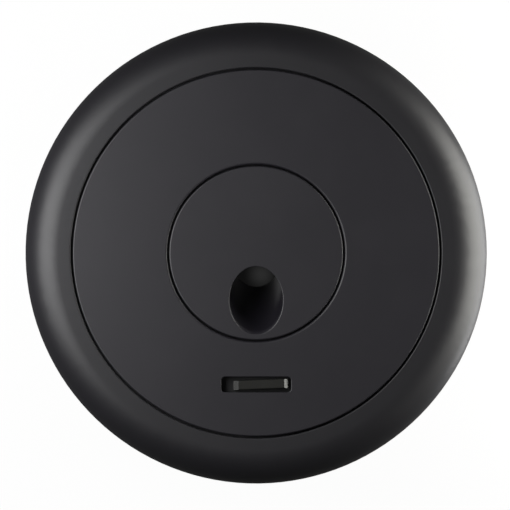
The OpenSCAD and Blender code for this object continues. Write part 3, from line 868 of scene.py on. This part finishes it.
class GROMMET_OT_stage(bpy.types.Operator):
    """Camera straight above the face, soft lights at the left and right, and a pale floor"""

    bl_idname = "grommet.stage"
    bl_label = "Stage"

    def execute(self, context):
        stage = context.scene.grommet.stage
        context.scene.view_settings.view_transform = "Standard"
        self.camera(context, stage)
        self.softbox("Key light", stage.key_place, stage.key_size, stage.key_power)
        self.softbox("Rim light", stage.rim_place, stage.rim_size, stage.rim_power, stage.rim_tint)
        self.softbox("Edge light", stage.edge_place, stage.edge_size, stage.edge_power)
        self.ambient(context, stage)
        self.floor(stage)
        return {"FINISHED"}

    def camera(self, context, stage):
        """Frames the flange as the photograph does."""
        flange_low, flange_high = CAD_BOX
        pixel = (flange_high.x - flange_low.x) / FLANGE_DIAMETER_PX
        camera = bpy.data.cameras.new("Camera")
        camera.lens = camera.sensor_width * stage.camera_distance / (pixel * IMAGE_SIDE)
        seat = bpy.data.objects.new("Camera", camera)
        seat.location = (
            (IMAGE_SIDE / 2 - FLANGE_CENTRE_PX[0]) * pixel,
            (FLANGE_CENTRE_PX[1] - IMAGE_SIDE / 2) * pixel,
            stage.camera_distance,
        )
        context.scene.collection.objects.link(seat)
        context.scene.camera = seat

    def softbox(self, name, place, size, power, tint=(1, 1, 1)):
        """A rectangular soft light that faces the grommet's centre."""
        light = bpy.data.lights.new(name, "AREA")
        light.shape = "RECTANGLE"
        light.size, light.size_y = size
        light.energy = power
        light.color = tint
        lamp = bpy.data.objects.new(name, light)
        lamp.location = place
        lamp.rotation_euler = (-Vector(place)).to_track_quat("-Z", "Y").to_euler()
        lamp.visible_camera = False
        bpy.context.scene.collection.objects.link(lamp)

    def ambient(self, context, stage):
        """Even grey light from all round, dimmer below but for two glows, and white where it is seen."""
        world = bpy.data.worlds.new("Ambient")
        world.use_nodes = True
        world.node_tree.nodes.clear()
        made = Graph(world.node_tree)
        seen = made.node("ShaderNodeLightPath", out="Is Camera Ray")
        x, y, z = made.parts(made.node("ShaderNodeTexCoord", out="Generated"))
        below = made.ramp(-z, 0, BELOW_FULL)
        left = made.ramp(-x, 0, GLOW_FULL)
        front = made.ramp(-y, 0, GLOW_FULL)
        glow = stage.left_glow * left + stage.front_glow * front
        light = stage.ambient * (1 - BELOW_LOSS * below) + glow * below
        tone = light * (1 - seen) + seen
        surround = made.node("ShaderNodeBackground", sockets={"Color": made.grey(tone)})
        made.node("ShaderNodeOutputWorld", sockets={"Surface": surround})
        context.scene.world = world

    def floor(self, stage):
        """A round pale floor under the sleeve, white in view but for the painted shade in its opening, that takes
        the grommet's shadow.
        """
        edit = bmesh.new()
        bmesh.ops.create_circle(edit, cap_ends=True, segments=96, radius=stage.floor_radius)
        bmesh.ops.translate(edit, verts=edit.verts, vec=(0, 0, CAD_BOX[0].z))
        mesh = bpy.data.meshes.new("Floor")
        edit.to_mesh(mesh)
        edit.free()
        mesh.materials.append(self.floor_finish(stage.floor_bounce, stage.well_tone))
        show("Floor", mesh)

    def floor_finish(self, bounce, well_tone):
        """Pale matt paint, white where it is seen directly, around an opening below the sleeve.

        Light comes up through the opening. In view, the opening is painted dark as painted shade, its soft edge is
        a painted shadow round the sleeve, and a painted pool of light shows in it through the cable outlet. From
        below, the floor is clear.
        """
        made = Finish("Floor")
        x, y, _ = made.parts(made.place)
        away = made.distance(x, y)
        # The opening's soft edge also shows in view as a painted shadow round the sleeve's foot
        outside_opening_and_shadow = made.ramp(away, *OPENING_AND_SHADOW_EDGE)
        distant = made.ramp(away, *SHADE_EDGE)
        # In view the floor inside the opening is painted: a dark tone as painted shade, brightest at a painted
        # pool of light under the cable outlet
        from_painted_spot = made.distance(x - PAINTED_SPOT_CENTRE[0], y - PAINTED_SPOT_CENTRE[1])
        painted_well = well_tone * (1 - PAINTED_SPOT_LOSS * made.ramp(from_painted_spot, 0, PAINTED_SPOT_RADIUS))
        seen = made.node("ShaderNodeLightPath", out="Is Camera Ray")
        glossy = made.other(seen, "Is Glossy Ray")
        mirrored = made.math("MAXIMUM", glossy, made.other(seen, "Is Transmission Ray"))

        shaded = SHADE_DEPTH * (1 - distant)
        tone = seen * (outside_opening_and_shadow * (1 - shaded) + (1 - outside_opening_and_shadow) * painted_well) + mirrored * distant * bounce
        albedo = outside_opening_and_shadow * (seen * shaded * SHADE_PALENESS + (1 - seen) * bounce)
        glow = made.node("ShaderNodeEmission", sockets={"Color": made.grey(tone), "Strength": 1.0})
        paint = made.node("ShaderNodeBsdfDiffuse", sockets={"Color": made.grey(albedo)})
        solid = made.node("ShaderNodeAddShader", sockets={0: glow, 1: paint})
        clear = made.node("ShaderNodeBsdfTransparent")
        back = made.node("ShaderNodeNewGeometry", out="Backfacing")
        opening = made.math("MAXIMUM", back, (1 - seen) * (1 - outside_opening_and_shadow))
        surface = made.node("ShaderNodeMixShader", sockets={0: opening, 1: solid, 2: clear})
        made.node("ShaderNodeOutputMaterial", sockets={"Surface": surface})
        return made.material


class GROMMET_OT_housing(bpy.types.Operator):
    """Rolled flange with its sleeve, ribs and bosses"""

    bl_idname = "grommet.housing"
    bl_label = "Housing"

    def execute(self, context):
        settings = context.scene.grommet
        finish = satin_finish(
            "Flange satin", settings.colours.flange, shine=0.465, show_from=FLANGE_GRAIN_AND_SHADE_FOOT)
        dress("flanged_sleeve", "flange_moulding", "black_plastic", finish)
        return {"FINISHED"}


class GROMMET_OT_lid(bpy.types.Operator):
    """Lid with its slot, and the backing plate under it with its ejector marks"""

    bl_idname = "grommet.lid"
    bl_label = "Lid"

    def execute(self, context):
        settings = context.scene.grommet
        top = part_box("lid_plate")[1].z
        finish = satin_finish("Lid satin", settings.colours.satin, shine=0.5, show_from=top - GRAIN_AND_SHADE_DEPTH)
        rims = (
            RoundEdge(LID_RADIUS, top, outward=True),
            RoundEdge(HOLE_RADIUS, top, outward=False, radius=settings.edges.hole),
        )
        dress("lid_plate", "lid_moulding", "black_plastic", finish, settings.edges.slot,
              low=top - SKIN, room=0, round_edges=rims)

        inner = inner_finish("Plate plastic", settings.colours.inner, roughness=0.42, shine=0.5)
        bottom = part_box("backing_plate")[0].z
        blank = rounded_copy(
            "backing_plate", "plate_blank", inner, settings.edges.inner, high=bottom + SKIN, room=0)
        plate = mark_shape().grow("plate_moulding", {
            "Count": MARK_COUNT, "Circle radius": MARK_CIRCLE, "First angle": math.pi / MARK_COUNT,
            "Level": bottom + MARKED_FACE, "Mark radius": MARK_RADIUS, "Mark depth": MARK_DEPTH,
            "Finish": inner}, blank.data)
        bpy.data.objects.remove(blank)
        place_piece(plate, "backing_plate")
        return {"FINISHED"}


class GROMMET_OT_turret(bpy.types.Operator):
    """Turret with the slanted cable outlet"""

    bl_idname = "grommet.turret"
    bl_label = "Turret"

    def execute(self, context):
        settings = context.scene.grommet
        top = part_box("turret")[1].z
        finish = satin_finish("Turret satin", settings.colours.satin, shine=0.53, show_from=top - GRAIN_AND_SHADE_DEPTH)
        rims = (RoundEdge(TURRET_RADIUS, top, outward=True),)
        dress("turret", "turret_moulding", "black_plastic", finish, settings.edges.mouth,
              low=top - SKIN, room=0, round_edges=rims)
        return {"FINISHED"}


class GROMMET_OT_lock(bpy.types.Operator):
    """Lock ring and the tab that turns it"""

    bl_idname = "grommet.lock"
    bl_label = "Lock"

    def execute(self, context):
        settings = context.scene.grommet
        inner = inner_finish("Ring plastic", settings.colours.inner, roughness=0.46, shine=0.3)
        dress("lock_ring", "ring_moulding", "inner_plastic", inner)
        polished = tab_finish("Tab plastic", settings.colours.tab)
        dress("lock_tab", "tab_moulding", "tab_plastic", polished)
        return {"FINISHED"}


class GROMMET_OT_soft_rings(bpy.types.Operator):
    """Foam gasket under the flange, cushion under the lid and washer over the turret's shoulder"""

    bl_idname = "grommet.soft_rings"
    bl_label = "Soft rings"

    def execute(self, context):
        settings = context.scene.grommet
        soft = settings.soft
        foam = foam_finish("Foam", settings.colours.foam)
        rubber = rubber_finish("Ring rubber", settings.colours.rubber)
        shape = soft_ring_shape()
        rings = (
            ("desk_gasket", "gasket_foam", 6.7 * MM, foam, "foam", soft.foam_rise),
            ("lid_cushion", "cushion_rubber", 1.2 * MM, rubber, "rubber", RUBBER_RISE),
            ("turret_washer", "washer_rubber", 1.4 * MM, rubber, "rubber", RUBBER_RISE),
        )
        for node, name, width, finish, slot, rise in rings:
            low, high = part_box(node)
            ring = shape.grow(name, {
                "Outer radius": high.x, "Inner radius": high.x - width, "Bottom": low.z, "Top": high.z,
                "Swell width": soft.swell_width, "Swell height": rise, "Fullness": RING_FULLNESS,
                "Finish": finish})
            place_piece(ring, node)
        return {"FINISHED"}


class GROMMET_OT_screws(bpy.types.Operator):
    """Clamp screws with their clips, and the screws of the backing plate"""

    bl_idname = "grommet.screws"
    bl_label = "Screws"

    def execute(self, context):
        settings = context.scene.grommet
        screws = settings.screws
        zinc = plated_finish("Zinc plating", settings.colours.zinc, roughness=0.34, lustre=0.12)
        steel = plated_finish("Spring steel", settings.colours.spring, roughness=0.4, lustre=0.2)
        shape = screw_shape()
        for side in SIDES:
            axis = joint(f"claw_{side}_swing")["pos_m"]
            low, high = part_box(f"clamp_screw_{side}")
            clip_low, clip_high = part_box(f"screw_clip_{side}")
            seat = high.z - CLAMP_HEAD_HEIGHT
            piece = shape.grow(f"clamp_bolt_{side}", {
                "Count": 1, "Circle radius": math.hypot(axis[0], axis[1]),
                "First angle": math.atan2(axis[1], axis[0]), "Seat height": seat, "Flip": 0.0,
                "Shank radius": screws.clamp_thread / 2, "Length": seat - low.z - CLAMP_STOP_HEIGHT,
                "Plain length": seat - clip_low.z + PLAIN_BELOW_CLIP, "Pitch": screws.clamp_pitch,
                "Thread depth": screws.clamp_pitch * screws.depth_share,
                "Groove top": seat - clip_high.z, "Groove bottom": seat - clip_low.z,
                "Groove depth": CLIP_GROOVE_DEPTH,
                "Stop radius": CLAMP_STOP_RADIUS, "Stop height": CLAMP_STOP_HEIGHT,
                "Head radius": (high.x - low.x) / 2, "Head height": CLAMP_HEAD_HEIGHT, "Finish": zinc})
            place_piece(piece, f"clamp_screw_{side}")
            dress(f"screw_clip_{side}", f"clip_{side}", "zinc_steel", steel, settings.edges.metal)

        # Four screws at the corners of a square, with their heads down
        low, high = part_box("backing_screws")
        head_radius = screws.plate_thread
        head_height = PLATE_HEAD_SHARE * screws.plate_thread
        piece = shape.grow("plate_screws", {
            "Count": 4, "Circle radius": (high.x - head_radius) * math.sqrt(2), "First angle": math.pi / 4,
            "Seat height": low.z + head_height, "Flip": 1.0, "Shank radius": screws.plate_thread / 2,
            "Length": high.z - low.z - head_height - PLATE_TIP_HEIGHT,
            "Plain length": PLATE_PLAIN_LENGTH, "Pitch": screws.plate_pitch,
            "Thread depth": screws.plate_pitch * screws.depth_share,
            "Groove top": 0.0, "Groove bottom": 0.0, "Groove depth": 0.0,
            "Stop radius": PLATE_TIP_RADIUS, "Stop height": PLATE_TIP_HEIGHT,
            "Head radius": head_radius, "Head height": head_height, "Finish": zinc})
        place_piece(piece, "backing_screws")
        return {"FINISHED"}


class GROMMET_OT_claws(bpy.types.Operator):
    """Claws with their brass inserts and grooved rubber pads"""

    bl_idname = "grommet.claws"
    bl_label = "Claws"

    def execute(self, context):
        settings = context.scene.grommet
        soft = settings.soft
        nylon = nylon_finish("Claw nylon", settings.colours.nylon)
        brass = plated_finish("Brass", settings.colours.brass, roughness=0.3, lustre=0.1)
        rubber = rubber_finish("Pad rubber", settings.colours.rubber)
        shape = grip_shape()
        for side in SIDES:
            dress(f"claw_{side}", f"claw_moulding_{side}", "claw_nylon", nylon, settings.edges.inner)
            dress(f"claw_insert_{side}", f"bush_{side}", "brass", brass, settings.edges.metal)

            low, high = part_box(f"claw_pad_{side}")
            centre = (low + high) / 2
            count = int((high.y - low.y) / soft.groove_pitch)
            first = centre.y - (count - 1) / 2 * soft.groove_pitch
            pad = shape.grow(f"pad_{side}", {
                "Count": count, "First groove": (centre.x, first, high.z), "Pitch": soft.groove_pitch,
                "Width": soft.groove_width, "Depth": soft.groove_depth, "Reach": 2 * (high.x - low.x),
                "Finish": rubber}, merged_mesh(f"claw_pad_{side}", f"pad_{side}"))
            place_piece(pad, f"claw_pad_{side}")
        return {"FINISHED"}


class GROMMET_PT_panel(bpy.types.Panel):
    """Lists the steps that dress the grommet"""

    bl_idname = "GROMMET_PT_panel"
    bl_label = "Desk grommet"
    bl_space_type = "VIEW_3D"
    bl_region_type = "UI"
    bl_category = "Grommet"

    def draw(self, context):
        for operator in OPERATORS:
            self.layout.operator(operator.bl_idname)


OPERATORS = (
    GROMMET_OT_stage,
    GROMMET_OT_housing,
    GROMMET_OT_lid,
    GROMMET_OT_turret,
    GROMMET_OT_lock,
    GROMMET_OT_soft_rings,
    GROMMET_OT_screws,
    GROMMET_OT_claws,
)
SETTINGS = (EdgeSettings, ScrewSettings, SoftSettings, ColourSettings, StageSettings, GrommetSettings)
CLASSES = (*SETTINGS, *OPERATORS, GROMMET_PT_panel)


def register():
    for cls in CLASSES:
        bpy.utils.register_class(cls)
    bpy.types.Scene.grommet = bpy.props.PointerProperty(type=GrommetSettings)


def unregister():
    del bpy.types.Scene.grommet
    for cls in reversed(CLASSES):
        bpy.utils.unregister_class(cls)


def main():
    """Dresses the grommet step by step."""
    register()
    for operator in OPERATORS:
        group, step = operator.bl_idname.split(".")
        getattr(getattr(bpy.ops, group), step)()


if __name__ == "__main__":
    main()
